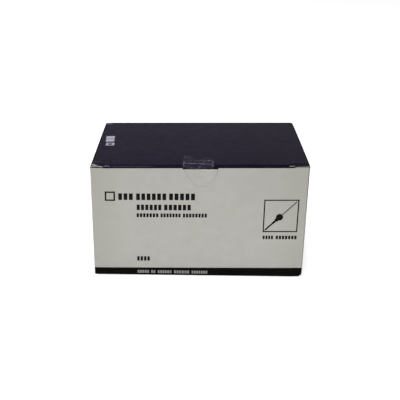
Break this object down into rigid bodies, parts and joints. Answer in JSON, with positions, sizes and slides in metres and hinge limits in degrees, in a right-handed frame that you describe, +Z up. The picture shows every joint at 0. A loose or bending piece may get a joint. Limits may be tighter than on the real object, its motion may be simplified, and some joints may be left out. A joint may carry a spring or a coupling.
{
  "type": "folding carton of needles",
  "caption": "Closed paperboard carton with a hinged dark lid tucked behind the front panel, a perforated thumb tab and a strip of clear tape over the front edge.",
  "frame": {"origin": "middle of the underside, on the surface that the carton stands on", "axes": "+X along the carton's width, to the right as the front panel is faced; +Y from the front panel to the back; +Z up"},
  "size_m": [0.165, 0.1111, 0.0942],
  "materials": {
    "paperboard": "coated white board, printed, satin",
    "clear_tape": "clear gloss film"
  },
  "bodies": {
    "root": {"carton": "paperboard", "seal_tape": "clear_tape"}
  },
  "joints": []
}
